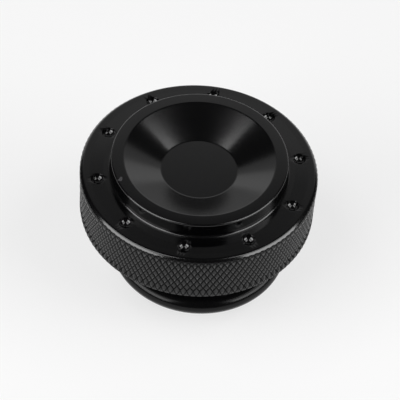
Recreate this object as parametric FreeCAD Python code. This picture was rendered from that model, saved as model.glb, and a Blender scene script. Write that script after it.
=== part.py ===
"""Hand-turned oil filler cap: a knurled black cap body and the loose seal ring in its groove.

Millimetres, +Z up. The origin is the centre of the spigot's end face, on the axis of the cap.
"""
import FreeCAD, Part
import math
import os

# Head: the knurled disc that the hand turns
head_diameter = 51.0
head_height = 11.85
top_bevel = 0.6
bottom_bevel = 0.25

# Diamond knurl, measured across the grooves
knurl_pitch = 1.2
knurl_angle = 30.0
knurl_depth = 0.36
knurl_end_depth = 0.12
knurl_backing = 0.5

# Boss on the head, with the dish turned into it
boss_diameter = 37.8
boss_height = 3.6
boss_foot_fillet = 0.5
boss_edge_break = 0.3
rim_width = 2.7
dish_floor_diameter = 16.4
dish_depth = 3.7

# Ring of ball-nosed dimples on the shoulder round the boss
dimple_count = 10
dimple_ball_diameter = 3.0
dimple_depth = 1.05
first_dimple_angle = 13.2

# Neck under the head, and the groove that holds the seal ring
neck_diameter = 33.6
neck_length = 10.65
neck_fillet = 1.0
groove_depth = 2.3
lip_thickness = 0.8
lip_edge_break = 0.3

# Seal ring: round section, loose in its groove and lying against one side of it
ring_section = 4.0
ring_slack = 1.1
ring_side_clearance = 0.1
ring_seat_clearance = 0.04

# Threaded spigot, at its major diameter
thread_diameter = 27.0
thread_length = 4.9
end_chamfer = 1.2

# Radii
head_radius = head_diameter / 2
knurl_root_radius = head_radius - knurl_depth
end_root_radius = head_radius - knurl_end_depth
shoulder_radius = head_radius - top_bevel
underside_radius = head_radius - bottom_bevel
sleeve_radius = min(shoulder_radius, underside_radius) - knurl_backing
boss_radius = boss_diameter / 2
dish_radius = boss_radius - rim_width
dish_floor_radius = dish_floor_diameter / 2
dimple_circle_radius = (boss_radius + shoulder_radius) / 2
neck_radius = neck_diameter / 2
groove_radius = neck_radius - groove_depth
ring_radius = groove_radius + ring_slack + ring_section / 2
ring_shift = ring_slack - ring_seat_clearance
thread_radius = thread_diameter / 2

# Heights above the end face
lip_bottom = thread_length
lip_top = lip_bottom + lip_thickness
groove_top = lip_top + ring_section + 2 * ring_side_clearance
ring_height = (lip_top + groove_top) / 2
underside = groove_top + neck_length
shoulder = underside + head_height
boss_top = shoulder + boss_height
dish_floor = boss_top - dish_depth

AXIS = FreeCAD.Vector(0, 0, 1)
SEAM_TOLERANCE = 1e-4


def point(radius, height):
    """Point of the turning profile, in the XZ plane."""
    return FreeCAD.Vector(radius, 0, height)


def line(start, end):
    """Straight edge of the turning profile."""
    return Part.LineSegment(start, end).toShape()


def inner_corner(start, centre, end):
    """Round edge of an inner corner, from start to end about centre."""
    middle_direction = ((start - centre) + (end - centre)).normalize()
    middle = centre + middle_direction * (start - centre).Length
    return Part.Arc(start, middle, end).toShape()


def turned_core():
    """Everything but the knurl, turned from one profile."""
    spigot_and_neck = [
        point(0, 0),
        point(thread_radius - end_chamfer, 0),
        point(thread_radius, end_chamfer),
        point(thread_radius, lip_bottom),
        point(neck_radius - lip_edge_break, lip_bottom),
        point(neck_radius, lip_bottom + lip_edge_break),
        point(neck_radius, lip_top),
        point(groove_radius, lip_top),
        point(groove_radius, groove_top),
        point(neck_radius, groove_top),
        point(neck_radius, underside - neck_fillet),
    ]
    head_side = [
        point(neck_radius + neck_fillet, underside),
        point(sleeve_radius, underside),
        point(sleeve_radius, shoulder),
        point(boss_radius + boss_foot_fillet, shoulder),
    ]
    boss_and_dish = [
        point(boss_radius, shoulder + boss_foot_fillet),
        point(boss_radius, boss_top - boss_edge_break),
        point(boss_radius - boss_edge_break, boss_top),
        point(dish_radius, boss_top),
        point(dish_floor_radius, dish_floor),
        point(0, dish_floor),
        point(0, 0),
    ]
    neck_fillet_centre = point(neck_radius + neck_fillet, underside - neck_fillet)
    boss_fillet_centre = point(boss_radius + boss_foot_fillet, shoulder + boss_foot_fillet)
    edges = []
    for run in (spigot_and_neck, head_side, boss_and_dish):
        edges += [line(start, end) for start, end in zip(run, run[1:])]
    edges.append(inner_corner(spigot_and_neck[-1], neck_fillet_centre, head_side[0]))
    edges.append(inner_corner(head_side[-1], boss_fillet_centre, boss_and_dish[0]))
    profile = Part.Wire(Part.__sortEdges__(edges))
    return Part.Face(profile).revolve(FreeCAD.Vector(), AXIS, 360)


def dimples():
    """Balls that sink the dimples into the shoulder."""
    ball_radius = dimple_ball_diameter / 2
    centre_height = shoulder + ball_radius - dimple_depth
    balls = []
    for index in range(dimple_count):
        angle = math.radians(first_dimple_angle + index * 360 / dimple_count)
        centre = FreeCAD.Vector(
            dimple_circle_radius * math.cos(angle),
            dimple_circle_radius * math.sin(angle),
            centre_height,
        )
        balls.append(Part.makeSphere(ball_radius, centre))
    return balls


def knurl_rows(columns):
    """Rings of points from the shoulder's edge down the knurl to the underside's edge.

    Crests and roots alternate along each ring and from ring to ring. The pattern grows shallow
    where it runs out into the two 45-degree bevels, whose edges are slightly scalloped.
    """
    band_top = shoulder - top_bevel
    band_bottom = underside + bottom_bevel
    axial_pitch = knurl_pitch / math.sin(math.radians(knurl_angle))
    bands = max(2, round((band_top - band_bottom) / (axial_pitch / 2)))
    step = 2 * math.pi / columns

    def ring(radius_and_height):
        corners = []
        for column in range(columns):
            radius, height = radius_and_height(column)
            angle = column * step
            corners.append((radius * math.cos(angle), radius * math.sin(angle), height))
        return corners

    def knurl_point(row):
        height = band_top + (band_bottom - band_top) * row / bands

        def radius_and_height(column):
            if (row + column) % 2 == 0:
                return head_radius, height
            if row == 0:
                return end_root_radius, height + knurl_end_depth
            if row == bands:
                return end_root_radius, height - knurl_end_depth
            return knurl_root_radius, height

        return radius_and_height

    rows = [ring(lambda column: (shoulder_radius, shoulder))]
    rows += [ring(knurl_point(row)) for row in range(bands + 1)]
    rows.append(ring(lambda column: (underside_radius, underside)))
    return rows


def knurled_sleeve():
    """Ring round the core that carries the diamond knurl and both bevels."""
    circumferential_pitch = knurl_pitch / math.cos(math.radians(knurl_angle))
    teeth = round(math.pi * head_diameter / circumferential_pitch)
    columns = 2 * teeth
    rows = knurl_rows(columns)
    points = [corner for row in rows for corner in row]
    triangles = []
    for row in range(len(rows) - 1):
        for column in range(columns):
            following = (column + 1) % columns
            upper_left = row * columns + column
            upper_right = row * columns + following
            lower_left = upper_left + columns
            lower_right = upper_right + columns
            if (row + column) % 2 == 0:
                triangles.append((upper_left, lower_left, lower_right))
                triangles.append((upper_left, lower_right, upper_right))
            else:
                triangles.append((upper_left, lower_left, upper_right))
                triangles.append((upper_right, lower_left, lower_right))
    skin = Part.Shape()
    skin.makeShapeFromMesh((points, triangles), SEAM_TOLERANCE)
    faces = list(skin.Faces)
    for row in (rows[0], rows[-1]):
        corners = [FreeCAD.Vector(*corner) for corner in row]
        outline = Part.makePolygon(corners + corners[:1])
        bore = Part.Wire(Part.makeCircle(sleeve_radius, point(0, corners[0].z)))
        faces.append(Part.makeFace([outline, bore], "Part::FaceMakerBullseye"))
    bore_wall = Part.makeCylinder(sleeve_radius, head_height, point(0, underside))
    faces += [face for face in bore_wall.Faces if isinstance(face.Surface, Part.Cylinder)]
    shell = Part.Compound(faces)
    shell.sewShape(SEAM_TOLERANCE)
    return Part.Solid(shell.Shells[0])


def cap_body():
    """The cap body, one turned and knurled piece."""
    core = turned_core().cut(dimples())
    return core.fuse(knurled_sleeve()).Solids[0]


def o_ring():
    """The seal ring, pushed across its groove until it lies by the groove's floor."""
    centre = FreeCAD.Vector(ring_shift, 0, ring_height)
    return Part.makeTorus(ring_radius, ring_section / 2, centre, AXIS)


os.makedirs("parts", exist_ok=True)
for name, shape in (("cap_body", cap_body()), ("o_ring", o_ring())):
    shape.exportStep(f"parts/{name}.step")
    print(name, shape.ShapeType, len(shape.Solids), shape.isValid(), round(shape.Volume, 2))
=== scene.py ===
"""Looks of a hand-turned oil filler cap: its knurled black body and its loose rubber seal ring.

Every length is in metres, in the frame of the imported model: +Z along the cap's axis, with the end
face of the threaded spigot on the floor at the origin.
"""

import logging
import math
from dataclasses import dataclass, field
from enum import Enum
from functools import cached_property
from typing import Iterable, Union

import bmesh
import bpy
from mathutils import Matrix, Vector


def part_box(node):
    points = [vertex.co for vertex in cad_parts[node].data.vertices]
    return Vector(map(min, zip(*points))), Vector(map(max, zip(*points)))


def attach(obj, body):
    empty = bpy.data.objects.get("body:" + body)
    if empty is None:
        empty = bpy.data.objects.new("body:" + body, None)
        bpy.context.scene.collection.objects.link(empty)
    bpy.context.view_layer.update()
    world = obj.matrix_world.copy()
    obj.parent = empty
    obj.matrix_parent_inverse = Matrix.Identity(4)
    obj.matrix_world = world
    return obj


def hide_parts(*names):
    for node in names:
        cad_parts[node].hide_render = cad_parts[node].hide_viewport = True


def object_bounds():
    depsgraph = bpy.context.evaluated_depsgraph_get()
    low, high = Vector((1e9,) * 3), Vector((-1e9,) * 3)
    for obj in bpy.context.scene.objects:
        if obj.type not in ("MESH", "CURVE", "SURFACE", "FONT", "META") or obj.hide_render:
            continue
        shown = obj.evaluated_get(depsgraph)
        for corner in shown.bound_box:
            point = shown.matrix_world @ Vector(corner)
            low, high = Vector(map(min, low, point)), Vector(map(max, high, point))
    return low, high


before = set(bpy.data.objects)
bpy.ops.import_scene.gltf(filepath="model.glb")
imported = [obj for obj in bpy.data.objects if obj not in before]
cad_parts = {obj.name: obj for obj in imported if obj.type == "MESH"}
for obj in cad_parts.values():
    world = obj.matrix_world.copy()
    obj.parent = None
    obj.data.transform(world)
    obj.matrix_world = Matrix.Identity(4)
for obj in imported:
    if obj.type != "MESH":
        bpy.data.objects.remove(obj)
CAD_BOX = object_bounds()

LOG = logging.getLogger("oil_filler_cap")
FULL_TURN = 2 * math.pi
UP = Vector((0, 0, 1))
IMAGE_SIDE = 400
MERGE_DISTANCE = 1e-7
EASE_SEGMENTS = 4
NOISE_MIDDLE = 0.5


def mm(length: float) -> float:
    """Millimetres as metres."""
    return length * 0.001


def clamped(value: float) -> float:
    """The value, held between 0 and 1."""
    return min(max(value, 0.0), 1.0)


class Node(Enum):
    """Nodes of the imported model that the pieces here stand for."""

    BODY = "cap_body"
    RING = "o_ring"


class Slot(Enum):
    """Material slots of the record."""

    ANODISED = "black_anodised"
    RUBBER = "seal_rubber"


class Signal:
    """A shader socket that takes part in Python arithmetic by adding Math nodes."""

    def __init__(self, graph: "Graph", socket: bpy.types.NodeSocket) -> None:
        """Wrap an output socket of a node in the graph."""
        self.graph = graph
        self.socket = socket

    def _math(self, operation: str, *terms: "Term") -> "Signal":
        """Add one Math node that works on the given terms."""
        return self.graph.node("ShaderNodeMath", {"operation": operation}, dict(enumerate(terms)))

    def __add__(self, other: "Term") -> "Signal":
        """Sum."""
        return self._math("ADD", self, other)

    __radd__ = __add__

    def __sub__(self, other: "Term") -> "Signal":
        """Difference."""
        return self._math("SUBTRACT", self, other)

    def __rsub__(self, other: "Term") -> "Signal":
        """Difference, with the plain number first."""
        return self._math("SUBTRACT", other, self)

    def __mul__(self, other: "Term") -> "Signal":
        """Product."""
        return self._math("MULTIPLY", self, other)

    __rmul__ = __mul__

    def larger(self, other: "Term") -> "Signal":
        """The larger of two values."""
        return self._math("MAXIMUM", self, other)

    def zigzag(self) -> "Signal":
        """Distance to the nearest even number."""
        return self._math("PINGPONG", self, 1.0)

    def sine(self) -> "Signal":
        """Sine of the value."""
        return self._math("SINE", self)

    def step(self, low: float, high: float) -> "Signal":
        """Smooth rise from 0 at low to 1 at high, which may be the smaller of the two."""
        return self.graph.node("ShaderNodeMapRange", {"interpolation_type": "SMOOTHSTEP"},
                               {"Value": self, "From Min": low, "From Max": high})


Term = Union[Signal, float]


class Graph:
    """Node tree of one material, emptied and ready for its finish."""

    # Colour sockets of a Mix node, which has a set of sockets for each type of data.
    MIX_LOW, MIX_HIGH, MIX_RESULT = 6, 7, 2

    def __init__(self, name: str) -> None:
        """Make the material and empty its tree.

        Args:
            name: Name of the material.
        """
        self.material = bpy.data.materials.new(name)
        self.material.use_nodes = True
        self.tree = self.material.node_tree
        self.tree.nodes.clear()

    def node(self, kind: str, settings: dict | None = None, inputs: dict | None = None,
             output: Union[int, str, None] = 0) -> Signal | None:
        """Add a node.

        Args:
            kind: Node type.
            settings: Node properties, set before the sockets.
            inputs: Socket name or index to a value or a signal.
            output: Output socket that the result wraps, or None for a node without one.

        Returns:
            The chosen output as a signal.
        """
        made = self.tree.nodes.new(kind)
        for key, value in (settings or {}).items():
            setattr(made, key, value)
        for key, value in (inputs or {}).items():
            if isinstance(value, Signal):
                self.tree.links.new(value.socket, made.inputs[key])
            else:
                made.inputs[key].default_value = value
        return None if output is None else Signal(self, made.outputs[output])

    @cached_property
    def place(self) -> Signal:
        """Position on the piece, in metres."""
        return self.node("ShaderNodeTexCoord", output="Object")

    def along(self, axis: str) -> Signal:
        """Coordinate of the position along an axis."""
        return self.node("ShaderNodeSeparateXYZ", None, {0: self.place}, output=axis)

    @cached_property
    def height(self) -> Signal:
        """Height of the position above the floor."""
        return self.along("Z")

    @cached_property
    def turn(self) -> Signal:
        """Share of a full turn from +X to the position, between -0.5 and 0.5."""
        sides = {0: self.along("Y"), 1: self.along("X")}
        return self.node("ShaderNodeMath", {"operation": "ARCTAN2"}, sides) * (1 / FULL_TURN)

    @cached_property
    def radius(self) -> Signal:
        """Distance of the position from the cap's axis."""
        flat = self.node("ShaderNodeVectorMath", {"operation": "MULTIPLY"},
                         {0: self.place, 1: (1, 1, 0)})
        return self.node("ShaderNodeVectorMath", {"operation": "LENGTH"}, {0: flat}, output="Value")

    def distance(self, place: Signal, centre: Vector) -> Signal:
        """Distance of a vector from a fixed point."""
        return self.node("ShaderNodeVectorMath", {"operation": "DISTANCE"},
                         {0: place, 1: centre}, output="Value")

    def noise(self, place: Signal, wave: float, detail: float = 2.0) -> Signal:
        """Cloudy value about 0.5, with waves of about the given length."""
        return self.node("ShaderNodeTexNoise", None,
                         {"Vector": place, "Scale": 1 / wave, "Detail": detail})

    def mix(self, factor: Term, low: Union[tuple, Signal], high: tuple) -> Signal:
        """Colour from low, where the factor is 0, to high, where it is 1."""
        ends = {self.MIX_LOW: low if isinstance(low, Signal) else (*low, 1.0),
                self.MIX_HIGH: (*high, 1.0)}
        return self.node("ShaderNodeMix", {"data_type": "RGBA"}, {0: factor, **ends},
                         output=self.MIX_RESULT)

    def bump(self, height: Signal) -> Signal:
        """Normal bent by a height in metres."""
        return self.node("ShaderNodeBump", None, {"Height": height, "Distance": 1.0})

    def finish(self, shader: Signal) -> bpy.types.Material:
        """Send a shader to the material's output."""
        self.node("ShaderNodeOutputMaterial", None, {"Surface": shader}, output=None)
        return self.material


@dataclass(frozen=True)
class Knurl:
    """Grid of the diamond knurl, with crests and pits in turn along its rows and columns."""

    crest: float
    depth: float
    top: float
    bottom: float
    columns: int
    rows: int

    @property
    def row_height(self) -> float:
        """Height of one row."""
        return (self.top - self.bottom) / self.rows


@dataclass(frozen=True)
class Scratch:
    """Short mark between two points, rubbed through to the metal in the core of its width."""

    start: Vector
    end: Vector
    width: float
    core: float = 0.3

    def mask(self, graph: Graph) -> Signal:
        """Mask that is 1 on the mark.

        Args:
            graph: Graph that the mask belongs to.

        Returns:
            The mask between 0 and 1.
        """
        length = (self.end - self.start).length
        around = graph.distance(graph.place, self.start) + graph.distance(graph.place, self.end)
        return around.step(length + self.width, length + self.core * self.width)


@dataclass(frozen=True)
class BlackAnodising:
    """Satin black anodised aluminium: sealed and glossy where turned, dull in the knurl's pits,
    where the weak reflection is painted shade, and with a painted highlight on the knurl's crests.
    """

    colour: tuple = (0.0010, 0.0010, 0.0012)
    # Painted highlight: the knurl's crests get a lighter base colour than its pits.
    crest_highlight_colour: tuple = (0.0030, 0.0030, 0.0032)
    bare_colour: tuple = (0.30, 0.30, 0.31)
    roughness: float = 0.15
    roughness_spread: float = 0.04
    ior: float = 1.63
    pit_roughness: float = 0.5
    # Painted shade: the pits' low IOR weakens their reflection, which darkens the knurl's grooves.
    pit_shade_ior: float = 1.15
    pit_blend: float = 0.3
    bevel_blend: float = mm(0.22)
    facet_gloss: float = 0.63
    groove_share: float = 0.45
    knurl_easing: float = mm(0.06)
    end_shade: float = 0.7
    end_reach: float = mm(1.0)
    dimple_roughness: float = 0.09
    dimple_blend: float = mm(0.05)
    dimple_fade: float = 0.35
    feed: float = mm(0.11)
    mark_depth: float = mm(0.00015)
    mark_wander: float = 5.0
    band_wave: float = mm(1.6)
    cloud_wave: float = mm(9)
    rim_nick: tuple = (
        Scratch(Vector((mm(-16.13), mm(-7.25), mm(36.0))),
                Vector((mm(-16.20), mm(-8.30), mm(36.0))), mm(0.18)),
        Scratch(Vector((mm(-16.95), mm(-8.20), mm(36.0))),
                Vector((mm(-16.30), mm(-8.05), mm(36.0))), mm(0.12)),
    )

    def rise(self, graph: Graph, knurl: Knurl) -> Signal:
        """Height on the knurl's facets.

        Args:
            graph: Graph of the material.
            knurl: Grid of the knurl.

        Returns:
            The height, from 0 in the pits to 1 on the crests.
        """
        column = graph.turn * knurl.columns
        row = (knurl.top - graph.height) * (1 / knurl.row_height)
        return 1.0 - (column + row).zigzag().larger((column - row).zigzag())

    def grip(self, graph: Graph, knurl: Knurl) -> Signal:
        """Mask of the head's knurled side.

        Args:
            graph: Graph of the material.
            knurl: Grid of the knurl.

        Returns:
            The mask between 0 and 1.
        """
        pits = knurl.crest - knurl.depth
        outside = graph.radius.step(pits - self.pit_blend * knurl.depth, pits)
        return outside * graph.height.step(knurl.top + self.bevel_blend, knurl.top)

    def dimple_track(self, graph: Graph, centre: Vector, ball: float) -> Signal:
        """Mask of the dimples and of the strip of shoulder that they stand in.

        Args:
            graph: Graph of the material.
            centre: Centre of the ball that sinks one dimple.
            ball: Radius of that ball.

        Returns:
            The mask between 0 and 1.
        """
        section = graph.node("ShaderNodeCombineXYZ", None, {0: graph.radius, 2: graph.height})
        middle = Vector((centre.xy.length, 0, centre.z))
        near = graph.distance(section, middle).step(ball + self.dimple_blend, ball)
        return near * graph.height.step(centre.z, centre.z - self.dimple_fade * ball)

    def material(self, knurl: Knurl, dimple_centre: Vector, ball: float) -> bpy.types.Material:
        """Make the material.

        Args:
            knurl: Grid of the knurl.
            dimple_centre: Centre of the ball that sinks one dimple.
            ball: Radius of that ball.

        Returns:
            The material.
        """
        graph = Graph("black_anodising")
        travel = graph.radius + graph.height
        rings = graph.node("ShaderNodeCombineXYZ", None, {0: travel})
        bands = graph.noise(rings, self.band_wave)
        clouds = graph.noise(graph.place, self.cloud_wave)
        marks = (travel * (FULL_TURN / self.feed) + self.mark_wander * bands).sine()
        rise = self.rise(graph, knurl)
        grip = self.grip(graph, knurl)
        relief = marks * self.mark_depth - rise * grip * self.knurl_easing
        stroke, cross_stroke = (scratch.mask(graph) for scratch in self.rim_nick)
        bare = stroke.larger(cross_stroke)
        # Painted highlight: the base colour lightens from the knurl's pits up to its crests.
        crest_highlight = graph.mix(rise * grip, self.colour, self.crest_highlight_colour)
        spread = ((bands - NOISE_MIDDLE) * self.roughness_spread
                  + (clouds - NOISE_MIDDLE) * self.roughness_spread)
        track = self.dimple_track(graph, dimple_centre, ball)
        sealed = graph.node("ShaderNodeBsdfPrincipled", None, {
            "Base Color": graph.mix(bare, crest_highlight, self.bare_colour),
            "Roughness": spread + self.roughness - track * (self.roughness - self.dimple_roughness),
            "Metallic": bare,
            "IOR": self.ior,
            "Normal": graph.bump(relief),
        })
        # Rough pit finish whose weak reflection is painted shade in the knurl's grooves, at its top
        # end and on the foot of the bevel.
        dull_shaded_pits = graph.node("ShaderNodeBsdfPrincipled", None, {
            "Base Color": (*self.colour, 1.0),
            "Roughness": self.pit_roughness,
            "IOR": self.pit_shade_ior,
        })
        # Painted shade: towards the knurl's top end the facets take more of the shaded pit finish.
        near_end = graph.height.step(knurl.top - self.end_reach, knurl.top)
        facets = rise.step(0.0, self.groove_share) * (1.0 - self.end_shade * near_end)
        share = grip * (1.0 - self.facet_gloss * facets)
        shader = graph.node("ShaderNodeMixShader", None, {0: share, 1: sealed, 2: dull_shaded_pits})
        return graph.finish(shader)


@dataclass(frozen=True)
class SealRubber:
    """Moulded black nitrile rubber with a faint bloom."""

    colour: tuple = (0.0030, 0.0030, 0.0032)
    bloom_colour: tuple = (0.0050, 0.0050, 0.0050)
    bloom_start: float = 0.45
    bloom_full: float = 0.75
    roughness: float = 0.20
    roughness_spread: float = 0.08
    ior: float = 1.30
    cloud_wave: float = mm(5)
    cloud_detail: float = 4.0
    grain_wave: float = mm(0.25)
    grain_depth: float = mm(0.004)

    def material(self) -> bpy.types.Material:
        """Make the material.

        Returns:
            The material.
        """
        graph = Graph("seal_rubber")
        clouds = graph.noise(graph.place, self.cloud_wave, self.cloud_detail)
        grain = graph.noise(graph.place, self.grain_wave)
        bloom = clouds.step(self.bloom_start, self.bloom_full)
        shader = graph.node("ShaderNodeBsdfPrincipled", None, {
            "Base Color": graph.mix(bloom, self.colour, self.bloom_colour),
            "Roughness": (clouds - NOISE_MIDDLE) * self.roughness_spread + self.roughness,
            "IOR": self.ior,
            "Normal": graph.bump(grain * self.grain_depth),
        })
        return graph.finish(shader)


@dataclass(frozen=True)
class PaleTable:
    """Matt white table that keeps the cap's soft shadow and looks whiter than it is lit."""

    colour: tuple = (0.90, 0.90, 0.90)
    whiteness: float = 0.62

    def material(self) -> bpy.types.Material:
        """Make the material.

        Returns:
            The material.
        """
        graph = Graph("pale_table")
        seen, mirrored, passed = (
            graph.node("ShaderNodeLightPath", output=ray)
            for ray in ("Is Camera Ray", "Is Glossy Ray", "Is Transmission Ray"))
        lit = graph.node("ShaderNodeBsdfDiffuse", None, {"Color": (*self.colour, 1.0)})
        white = graph.node("ShaderNodeEmission", None, {"Strength": 1.0})
        share = (seen + mirrored + passed) * self.whiteness
        return graph.finish(graph.node("ShaderNodeMixShader", None, {0: share, 1: lit, 2: white}))


@dataclass(frozen=True)
class Corner:
    """Corner of a turning profile."""

    radius: float
    height: float
    ease: float = 0.0
    cuts: int = 0


def turned(corners: Iterable[Corner], columns: int) -> bmesh.types.BMesh:
    """Turn a profile about the cap's axis.

    Args:
        corners: The profile, from one end of the axis to the other. A corner's ease is the length
            that its rounding takes from each side, and its cuts divide the edge that follows it.
        columns: Number of steps round the axis.

    Returns:
        The closed mesh.
    """
    mesh = bmesh.new()
    corners = list(corners)
    points = [mesh.verts.new((corner.radius, 0, corner.height)) for corner in corners]
    edges = [mesh.edges.new(pair) for pair in zip(points, points[1:])]
    for corner, edge in zip(corners, edges):
        if corner.cuts:
            bmesh.ops.subdivide_edges(mesh, edges=[edge], cuts=corner.cuts)
    for corner in corners:
        if corner.ease:
            place = Vector((corner.radius, 0, corner.height))
            point = min(mesh.verts, key=lambda other: (other.co - place).length)
            bmesh.ops.bevel(mesh, geom=[point], offset=corner.ease, offset_type="OFFSET",
                            affect="VERTICES", segments=EASE_SEGMENTS, profile=0.5, material=-1)
    bmesh.ops.spin(mesh, geom=mesh.verts[:] + mesh.edges[:], cent=(0, 0, 0), axis=UP,
                   angle=FULL_TURN, steps=columns, use_merge=True)
    tidy(mesh)
    return mesh


def tidy(mesh: bmesh.types.BMesh) -> None:
    """Merge doubled points, drop empty edges and turn the faces outwards.

    Args:
        mesh: The mesh to put right.
    """
    bmesh.ops.remove_doubles(mesh, verts=mesh.verts[:], dist=MERGE_DISTANCE)
    bmesh.ops.dissolve_degenerate(mesh, dist=MERGE_DISTANCE, edges=mesh.edges[:])
    bmesh.ops.recalc_face_normals(mesh, faces=mesh.faces[:])


def crease(mesh: bmesh.types.BMesh, angle: float) -> None:
    """Shade smooth, with a hard edge wherever two faces meet at the angle or more.

    Args:
        mesh: The mesh to shade.
        angle: The angle, in radians.
    """
    for face in mesh.faces:
        face.smooth = True
    for edge in mesh.edges:
        edge.smooth = edge.calc_face_angle(0.0) < angle


def piece(name: str, mesh: bmesh.types.BMesh) -> bpy.types.Object:
    """Make an object at the origin from a mesh, which is freed.

    Args:
        name: Name of the object and its mesh.
        mesh: The shape, with its place in its points.

    Returns:
        The object, linked to the scene.
    """
    data = bpy.data.meshes.new(name)
    mesh.to_mesh(data)
    mesh.free()
    made = bpy.data.objects.new(name, data)
    bpy.context.scene.collection.objects.link(made)
    return made


def dress(made: bpy.types.Object, material: bpy.types.Material, node: Node) -> None:
    """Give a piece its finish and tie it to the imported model.

    Args:
        made: The piece.
        material: Its finish.
        node: Node that the piece stands for.
    """
    made.data.materials.clear()
    made.data.materials.append(material)
    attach(made, "root")
    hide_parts(node.value)
    LOG.info("%s: %d faces, stands for %s", made.name, len(made.data.polygons), node.value)


@dataclass
class CapBody:
    """Turned and knurled cap body, from the threaded spigot up to the dished boss."""

    head_radius: float = mm(25.5)
    head_height: float = mm(11.85)
    top_bevel: float = mm(0.6)
    bevel_ease: float = mm(0.2)
    bevel_loop: float = 2.0
    bottom_bevel: float = mm(0.25)
    knurl_pitch: float = mm(1.2)
    knurl_angle: float = math.radians(30)
    knurl_depth: float = mm(0.36)
    knurl_end_depth: float = mm(0.12)
    knurl_margin: float = mm(0.012)
    boss_radius: float = mm(18.9)
    boss_height: float = mm(3.6)
    boss_foot: float = mm(0.5)
    foot_loop: float = 1.4
    rim_width: float = mm(2.7)
    rim_ease: float = mm(0.38)
    dish_edge_ease: float = mm(0.15)
    dish_floor_radius: float = mm(8.2)
    dish_depth: float = mm(3.7)
    dish_floor_ease: float = mm(0.15)
    dimple_count: int = 10
    dimple_ball: float = mm(1.5)
    dimple_depth: float = mm(1.05)
    dimple_ease: float = mm(0.09)
    dimple_ease_segments: int = 2
    dimple_margin: float = mm(0.05)
    first_dimple: float = math.radians(13.2)
    ball_columns: int = 36
    ball_rows: int = 24
    neck_radius: float = mm(16.8)
    neck_fillet: float = mm(1.0)
    groove_radius: float = mm(14.5)
    groove_bottom: float = mm(5.7)
    groove_top: float = mm(9.9)
    lip_ease: float = mm(0.3)
    thread_radius: float = mm(13.5)
    thread_pitch: float = mm(2.0)
    thread_depth: float = mm(1.2269)
    thread_length: float = mm(4.9)
    thread_runout: float = mm(0.7)
    thread_bare_end: float = 0.3
    thread_crest_share: float = 0.875
    thread_root_share: float = 0.25
    end_chamfer: float = mm(1.2)
    thread_cuts: int = 48
    crease_angle: float = math.radians(28)
    finish: BlackAnodising = field(default_factory=BlackAnodising)

    def __post_init__(self) -> None:
        """Work out the heights and the knurl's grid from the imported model's top."""
        self.top = CAD_BOX[1][2]
        self.shoulder = self.top - self.boss_height
        self.underside = self.shoulder - self.head_height
        round_pitch = self.knurl_pitch / math.cos(self.knurl_angle)
        columns = 2 * round(FULL_TURN * self.head_radius / round_pitch)
        half_axial_pitch = self.knurl_pitch / math.sin(self.knurl_angle) / 2
        top = self.shoulder - self.top_bevel
        bottom = self.underside + self.bottom_bevel
        rows = round((top - bottom) / half_axial_pitch)
        self.knurl = Knurl(self.head_radius, self.knurl_depth, top, bottom, columns, rows)
        self.dimple_circle = (self.boss_radius + self.head_radius - self.top_bevel) / 2

    def profile(self) -> list[Corner]:
        """Turning profile, with loops that keep the flats beside the bevel and the boss's foot.

        Returns:
            The corners, from the middle of the end face to the middle of the dish.
        """
        shoulder_edge = self.head_radius - self.top_bevel
        dish_radius = self.boss_radius - self.rim_width
        dish_floor = self.top - self.dish_depth
        return [
            Corner(0, 0),
            Corner(self.thread_radius, 0, cuts=self.thread_cuts),
            Corner(self.thread_radius, self.thread_length),
            Corner(self.neck_radius, self.thread_length, ease=self.lip_ease),
            Corner(self.neck_radius, self.groove_bottom),
            Corner(self.groove_radius, self.groove_bottom, ease=self.lip_ease),
            Corner(self.groove_radius, self.groove_top, ease=self.lip_ease),
            Corner(self.neck_radius, self.groove_top),
            Corner(self.neck_radius, self.underside, ease=self.neck_fillet),
            Corner(self.head_radius - self.bottom_bevel, self.underside),
            Corner(self.head_radius, self.knurl.bottom, cuts=self.knurl.rows - 1),
            Corner(self.head_radius, self.knurl.top),
            Corner(shoulder_edge, self.shoulder, ease=self.bevel_ease),
            Corner(shoulder_edge - self.bevel_loop * self.bevel_ease, self.shoulder),
            Corner(self.boss_radius + self.foot_loop * self.boss_foot, self.shoulder),
            Corner(self.boss_radius, self.shoulder, ease=self.boss_foot),
            Corner(self.boss_radius, self.top, ease=self.rim_ease),
            Corner(dish_radius, self.top, ease=self.dish_edge_ease),
            Corner(self.dish_floor_radius, dish_floor, ease=self.dish_floor_ease),
            Corner(0, dish_floor),
        ]

    def cut_knurl(self, mesh: bmesh.types.BMesh) -> None:
        """Sink every second point of the grid on the head's side, which leaves diamonds.

        The pattern grows shallow where it runs out into the two bevels, and scallops their edges.

        Args:
            mesh: The turned body.
        """
        side = [point for point in mesh.verts
                if point.co.xy.length > self.head_radius - self.knurl_margin]
        last_row = self.knurl.rows
        for point in side:
            turn = math.atan2(point.co.y, point.co.x) / FULL_TURN
            column = round(turn * self.knurl.columns)
            row = round((self.knurl.top - point.co.z) / self.knurl.row_height)
            if (row + column) % 2 == 0:
                continue
            depth = self.knurl_end_depth if row in (0, last_row) else self.knurl_depth
            point.co.xy *= 1 - depth / self.head_radius
            if row == 0:
                point.co.z += depth
            elif row == last_row:
                point.co.z -= depth
        faces = {face for point in side for face in point.link_faces}
        bmesh.ops.triangulate(mesh, faces=list(faces), quad_method="SHORT_EDGE")

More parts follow.
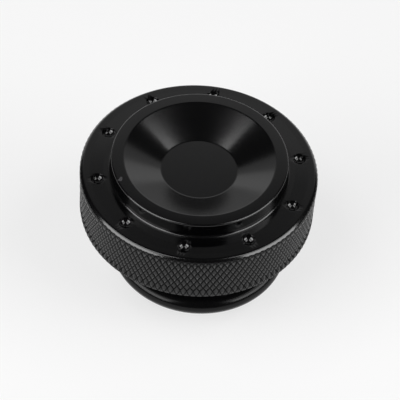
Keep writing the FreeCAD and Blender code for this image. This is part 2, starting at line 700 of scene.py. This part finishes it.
    def cut_thread(self, mesh: bmesh.types.BMesh) -> None:
        """Sink the right-hand thread into the spigot, with its end chamfer and its run-out.

        Args:
            mesh: The turned body.
        """
        core = self.thread_radius - self.thread_depth
        flank_share = self.thread_crest_share - self.thread_root_share
        for point in mesh.verts:
            radius = point.co.xy.length
            if not MERGE_DISTANCE <= radius <= self.thread_radius + MERGE_DISTANCE:
                continue
            if point.co.z > self.thread_length + MERGE_DISTANCE:
                continue
            turn = math.atan2(point.co.y, point.co.x) / FULL_TURN
            phase = (point.co.z / self.thread_pitch - turn) % 1.0
            ridge = abs(phase - 0.5) * 2
            left = (self.thread_length - point.co.z) / self.thread_runout
            rise = clamped((ridge - self.thread_root_share) / flank_share)
            rise *= clamped(left - self.thread_bare_end)
            chamfer = self.thread_radius - self.end_chamfer + point.co.z
            point.co.xy *= min(core + rise * self.thread_depth, chamfer) / radius

    def dimple_centres(self) -> list[Vector]:
        """Places of the balls that sink the dimples into the shoulder.

        Returns:
            The balls' centres.
        """
        height = self.shoulder + self.dimple_ball - self.dimple_depth
        centres = []
        for index in range(self.dimple_count):
            angle = self.first_dimple + index * FULL_TURN / self.dimple_count
            flat = self.dimple_circle * Vector((math.cos(angle), math.sin(angle), 0))
            centres.append(flat + height * UP)
        return centres

    def sink_dimples(self, made: bpy.types.Object) -> None:
        """Cut the ball-nosed dimples into the shoulder.

        Args:
            made: The turned body.
        """
        balls = bmesh.new()
        for centre in self.dimple_centres():
            bmesh.ops.create_uvsphere(balls, u_segments=self.ball_columns,
                                      v_segments=self.ball_rows, radius=self.dimple_ball,
                                      matrix=Matrix.Translation(centre))
        cutter = piece("dimple_balls", balls)
        cut = made.modifiers.new("dimples", "BOOLEAN")
        cut.operation = "DIFFERENCE"
        cut.solver = "EXACT"
        cut.object = cutter
        graph = bpy.context.evaluated_depsgraph_get()
        plain = made.data
        made.data = bpy.data.meshes.new_from_object(made.evaluated_get(graph))
        made.modifiers.clear()
        bpy.data.meshes.remove(plain)
        bpy.data.objects.remove(cutter)

    def ease_dimples(self, mesh: bmesh.types.BMesh) -> None:
        """Break the sharp rims of the dimples.

        Args:
            mesh: The body with its dimples.
        """
        flat_height = self.shoulder - MERGE_DISTANCE
        inner = self.boss_radius + self.boss_foot + MERGE_DISTANCE
        outer = self.head_radius - self.top_bevel - self.dimple_margin
        rims = []
        for edge in mesh.edges:
            on_flat = all(point.co.z > flat_height for point in edge.verts)
            middle = (edge.verts[0].co + edge.verts[1].co) / 2
            if not on_flat or not inner < middle.xy.length < outer:
                continue
            if edge.calc_face_angle(0.0) > self.crease_angle:
                rims.append(edge)
        bmesh.ops.bevel(mesh, geom=rims, offset=self.dimple_ease, offset_type="OFFSET",
                        affect="EDGES", segments=self.dimple_ease_segments, profile=0.5,
                        material=-1)

    def build(self) -> bpy.types.Object:
        """Model the body and dress it.

        Returns:
            The finished piece.
        """
        mesh = turned(self.profile(), self.knurl.columns)
        self.cut_knurl(mesh)
        self.cut_thread(mesh)
        tidy(mesh)
        made = piece("turned_cap", mesh)
        self.sink_dimples(made)
        mesh = bmesh.new()
        mesh.from_mesh(made.data)
        tidy(mesh)
        self.ease_dimples(mesh)
        crease(mesh, self.crease_angle)
        mesh.to_mesh(made.data)
        mesh.free()
        weigh = made.modifiers.new("even_flats", "WEIGHTED_NORMAL")
        weigh.keep_sharp = True
        finish = self.finish.material(self.knurl, self.dimple_centres()[0], self.dimple_ball)
        dress(made, finish, Node.BODY)
        return made


@dataclass
class SealRing:
    """Rubber ring of round section with a parting line, lying loose in the neck's groove."""

    section: float = mm(2.0)
    flash: float = mm(0.04)
    section_points: int = 48
    columns: int = 200
    crease_angle: float = math.radians(40)
    finish: SealRubber = field(default_factory=SealRubber)

    def build(self) -> bpy.types.Object:
        """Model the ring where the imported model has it, and dress it.

        Returns:
            The finished piece.
        """
        low, high = (Vector(corner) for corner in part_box(Node.RING.value))
        centre = (low + high) / 2
        centre_radius = (high.x - low.x) / 2 - self.section
        mesh = bmesh.new()
        stand = Matrix.Rotation(math.radians(90), 4, "X")
        place = Matrix.Translation(centre + Vector((centre_radius, 0, 0)))
        made = bmesh.ops.create_circle(mesh, radius=self.section, segments=self.section_points,
                                       matrix=place @ stand)
        outermost = max(made["verts"], key=lambda point: point.co.x)
        outermost.co.x += self.flash
        bmesh.ops.spin(mesh, geom=mesh.verts[:] + mesh.edges[:], cent=centre, axis=UP,
                       angle=FULL_TURN, steps=self.columns, use_merge=True)
        tidy(mesh)
        crease(mesh, self.crease_angle)
        ring = piece("seal_ring", mesh)
        dress(ring, self.finish.material(), Node.RING)
        return ring


@dataclass(frozen=True)
class Panel:
    """Evenly bright studio panel."""

    name: str
    stand: Matrix
    width: float
    height: float
    radiance: float

    def build(self) -> None:
        """Hang the panel at its stand, with its bright side turned against the stand's Z axis."""
        lamp = bpy.data.lights.new(self.name, "AREA")
        lamp.shape = "RECTANGLE"
        lamp.size = self.width
        lamp.size_y = self.height
        lamp.energy = math.pi * self.width * self.height * self.radiance
        holder = bpy.data.objects.new(self.name, lamp)
        holder.matrix_world = self.stand
        holder.visible_camera = False
        bpy.context.scene.collection.objects.link(holder)


@dataclass(frozen=True)
class Softbox:
    """Large lamp, by the bearing and the half angles in degrees at which the cap sees it."""

    name: str
    azimuth: float
    elevation: float
    roll: float
    half_width: float
    half_height: float


@dataclass(frozen=True)
class Stripe:
    """Level stripe of a lamp or of the backdrop, with a brightness of its own."""

    name: str
    foot: float
    top: float
    radiance: float

    @property
    def middle(self) -> float:
        """Height of the stripe's middle."""
        return (self.foot + self.top) / 2


def facing(direction: Vector, roll: float = 0.0) -> Matrix:
    """Turn that points Z in a direction and keeps Y as high as it can be.

    Args:
        direction: Where Z points.
        roll: Degrees to turn about Z afterwards.

    Returns:
        The turn.
    """
    upright = direction.to_track_quat("Z", "Y").to_matrix().to_4x4()
    return upright @ Matrix.Rotation(math.radians(roll), 4, "Z")


def bearing(azimuth: float, elevation: float) -> Vector:
    """Unit vector towards an azimuth and an elevation.

    Args:
        azimuth: Degrees from +X towards +Y.
        elevation: Degrees above the level.

    Returns:
        The direction.
    """
    flat = math.radians(azimuth)
    rise = math.radians(elevation)
    level = Vector((math.cos(flat), math.sin(flat), 0))
    return math.cos(rise) * level + math.sin(rise) * UP


@dataclass
class Studio:
    """Table, lamps and camera, set as in the photograph."""

    head_radius: float
    shoulder: float
    table_radius: float = 1.5
    table_points: int = 64
    world_grey: float = 0.035
    elevation: float = math.radians(49.2)
    roll: float = math.radians(4.33)
    focal_pixels: float = 1745.9
    distance_in_radii: float = 14.627
    right_in_radii: float = 0.0266
    up_in_radii: float = -0.2615
    sensor: float = 36.0
    lamp_distance: float = 0.6
    lamps: tuple = (
        Softbox("left_softbox", 213, 36, 5, 24, 36),
        Softbox("right_softbox", -18, 35, -14, 22, 32),
    )
    lamp_stripes: tuple = (
        Stripe("lower", -0.5, 0.10, 5.0),
        Stripe("middle", 0.10, 0.50, 1.4),
        Stripe("upper", 0.50, 1.0, 3.0),
    )
    backdrop_distance: float = 0.6
    backdrop_width: float = 1.14
    backdrop_stripes: tuple = (
        Stripe("low_backdrop", 0.0, 0.20, 0.36),
        Stripe("middle_backdrop", 0.20, 0.40, 0.80),
        Stripe("high_backdrop", 0.40, 0.69, 0.37),
        Stripe("top_backdrop", 0.69, 0.80, 0.13),
    )
    finish: PaleTable = field(default_factory=PaleTable)

    def build_table(self) -> None:
        """Lay the pale table under the cap."""
        mesh = bmesh.new()
        bmesh.ops.create_circle(mesh, cap_ends=True, radius=self.table_radius,
                                segments=self.table_points)
        table = piece("pale_table", mesh)
        table.data.materials.append(self.finish.material())

    def hang_lamp(self, lamp: Softbox) -> None:
        """Hang one softbox, whose stripes are given in shares of its half height.

        Args:
            lamp: The softbox.
        """
        direction = bearing(lamp.azimuth, lamp.elevation)
        middle = Matrix.Translation(self.shoulder * UP + self.lamp_distance * direction)
        half_width, half_height = (self.lamp_distance * math.tan(math.radians(half))
                                   for half in (lamp.half_width, lamp.half_height))
        for stripe in self.lamp_stripes:
            shift = Matrix.Translation(Vector((0, stripe.middle * half_height, 0)))
            Panel(f"{lamp.name}_{stripe.name}", middle @ facing(direction, lamp.roll) @ shift,
                  2 * half_width, (stripe.top - stripe.foot) * half_height,
                  stripe.radiance).build()

    def stand_backdrop(self) -> None:
        """Stand the pale backdrop behind the cap, whose stripes are given in metres."""
        back = Vector((0, 1, 0))
        for stripe in self.backdrop_stripes:
            place = Matrix.Translation(self.backdrop_distance * back + stripe.middle * UP)
            Panel(stripe.name, place @ facing(back), self.backdrop_width,
                  stripe.top - stripe.foot, stripe.radiance).build()

    def dim_room(self) -> None:
        """Make the rest of the room a dim, even grey."""
        world = bpy.data.worlds.new("dim_room")
        world.use_nodes = True
        sockets = world.node_tree.nodes["Background"].inputs
        sockets["Color"].default_value = (1, 1, 1, 1)
        sockets["Strength"].default_value = self.world_grey
        bpy.context.scene.world = world

    def build_camera(self) -> None:
        """Stand the camera where the photograph was taken from."""
        right = Vector((1, 0, 0))
        up = Vector((0, math.sin(self.elevation), math.cos(self.elevation)))
        back = right.cross(up)
        shift = (self.distance_in_radii * back + self.right_in_radii * right
                 + self.up_in_radii * up)
        place = self.shoulder * UP + self.head_radius * shift
        lens = bpy.data.cameras.new("camera")
        lens.sensor_width = self.sensor
        lens.lens = self.focal_pixels / IMAGE_SIDE * self.sensor
        lens.dof.use_dof = False
        camera = bpy.data.objects.new("camera", lens)
        axes = Matrix((right, up, back)).transposed().to_4x4()
        camera.matrix_world = Matrix.Translation(place) @ axes @ Matrix.Rotation(self.roll, 4, "Z")
        bpy.context.scene.collection.objects.link(camera)
        bpy.context.scene.camera = camera

    def build(self) -> None:
        """Set up the whole studio."""
        self.build_table()
        for lamp in self.lamps:
            self.hang_lamp(lamp)
        self.stand_backdrop()
        self.dim_room()
        self.build_camera()
        bpy.context.scene.view_settings.view_transform = "Standard"


def main() -> None:
    """Build the cap, its seal ring and the studio."""
    logging.basicConfig(level=logging.INFO, format="%(name)s: %(message)s")
    body = CapBody()
    body.build()
    SealRing().build()
    Studio(body.head_radius, body.shoulder).build()


if __name__ == "__main__":
    main()
